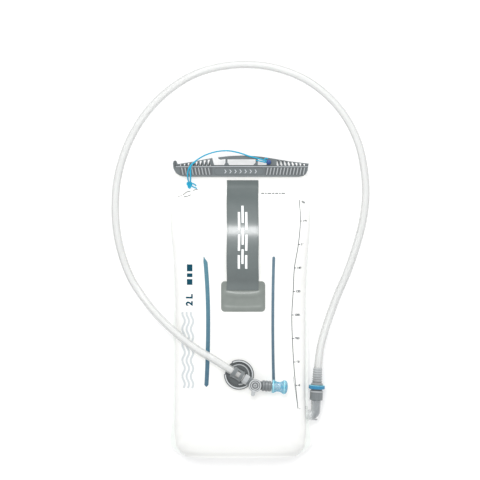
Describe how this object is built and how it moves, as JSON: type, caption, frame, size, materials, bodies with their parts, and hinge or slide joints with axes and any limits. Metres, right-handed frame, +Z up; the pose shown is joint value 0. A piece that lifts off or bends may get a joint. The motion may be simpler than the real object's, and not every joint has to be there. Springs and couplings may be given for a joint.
{
  "type": "hydration bladder",
  "caption": "Welded film water reservoir with a slide-on closure, a filling handle, a quick-release side port and a drinking hose with a shut-off valve, magnetic clip and bite valve.",
  "frame": {"origin": "middle of the flat on the back of the reservoir, which is the face that it lies on", "axes": "+X across the reservoir towards the hose port, +Y towards the mouth and its closure, +Z up out of the front"},
  "size_m": [0.3202, 0.488, 0.073],
  "materials": {
    "clear_film": "satin",
    "blue_weld": "satin",
    "strap_grey": "satin",
    "tab_grey": "satin",
    "slider_grey": "satin",
    "cord_blue": "woven",
    "stop_navy": "gloss",
    "port_clear": "gloss",
    "fitting_grey": "satin",
    "ring_blue": "satin",
    "fitting_pale": "gloss",
    "steel": "brushed",
    "seal_black": "matte",
    "hose_clear": "satin",
    "fitting_dark": "matte",
    "bite_blue": "satin"
  },
  "bodies": {
    "reservoir": {"front_panel": "clear_film", "back_panel": "clear_film", "bottom_gusset": "clear_film", "left_baffle": "blue_weld", "right_baffle": "blue_weld", "handle_strap": "strap_grey", "handle_tab": "tab_grey", "tether_eyelet": "clear_film", "tether_knot": "cord_blue", "tether": "cord_blue", "port_elbow": "port_clear", "port_ring": "port_clear", "coupling_body": "fitting_grey", "poppet_spring": "steel"},
    "closure": {"slider": "slider_grey", "tether_stop": "stop_navy"},
    "release_ring": {"release_ring": "ring_blue"},
    "poppet": {"poppet": "port_clear"},
    "hose_line": {"hose": "hose_clear", "hose_plug": "fitting_grey", "plug_seal": "seal_black", "strain_relief": "fitting_pale", "valve_body": "fitting_grey"},
    "shutoff": {"shutoff_knob": "fitting_pale", "knob_seal": "seal_black"},
    "mouthpiece": {"swivel_collar": "fitting_grey", "bite_valve": "bite_blue"},
    "clip_cradle": {"clip_cradle": "fitting_grey", "cradle_magnet": "steel"},
    "clip_base": {"clip_base": "fitting_dark", "base_magnet": "steel"}
  },
  "joints": [
    {"name": "slider_slide", "type": "slide", "parent": "reservoir", "child": "closure", "axis": [-1, 0, 0], "range_m": [0, 0.166], "deforming": ["tether"]},
    {"name": "hose_pull", "type": "slide", "parent": "reservoir", "child": "hose_line", "axis": [0.0541, 0.9985, 0], "range_m": [0, 0.016]},
    {"name": "poppet_travel", "type": "slide", "parent": "reservoir", "child": "poppet", "axis": [0.0541, 0.9985, 0], "range_m": [0, 0.003], "deforming": ["poppet_spring"]},
    {"name": "ring_press", "type": "slide", "parent": "reservoir", "child": "release_ring", "axis": [-0.0541, -0.9985, 0], "range_m": [0, 0.0014], "stiffness_N_per_m": 800},
    {"name": "shutoff_turn", "type": "hinge", "parent": "hose_line", "child": "shutoff", "pos_m": [0.01772, -0.09685, 0.0648], "axis": [0, 0, 1], "range_deg": [-90, 0]},
    {"name": "bite_valve_swivel", "type": "hinge", "parent": "hose_line", "child": "mouthpiece", "pos_m": [0.01772, -0.09685, 0.0648], "axis": [0.9976, -0.0698, 0], "continuous": true},
    {"name": "clip_slide", "type": "slide", "parent": "hose_line", "child": "clip_cradle", "axis": [-0.848, 0.5299, 0], "range_m": [0, 0.015]},
    {"name": "clip_swivel", "type": "hinge", "parent": "clip_cradle", "child": "clip_base", "pos_m": [-0.00187, -0.0846, 0.0648], "axis": [0, 0, 1], "continuous": true}
  ],
  "couplings": [
    {"joint": "poppet_travel", "follows": "hose_pull", "ratio": 0.1875}
  ]
}
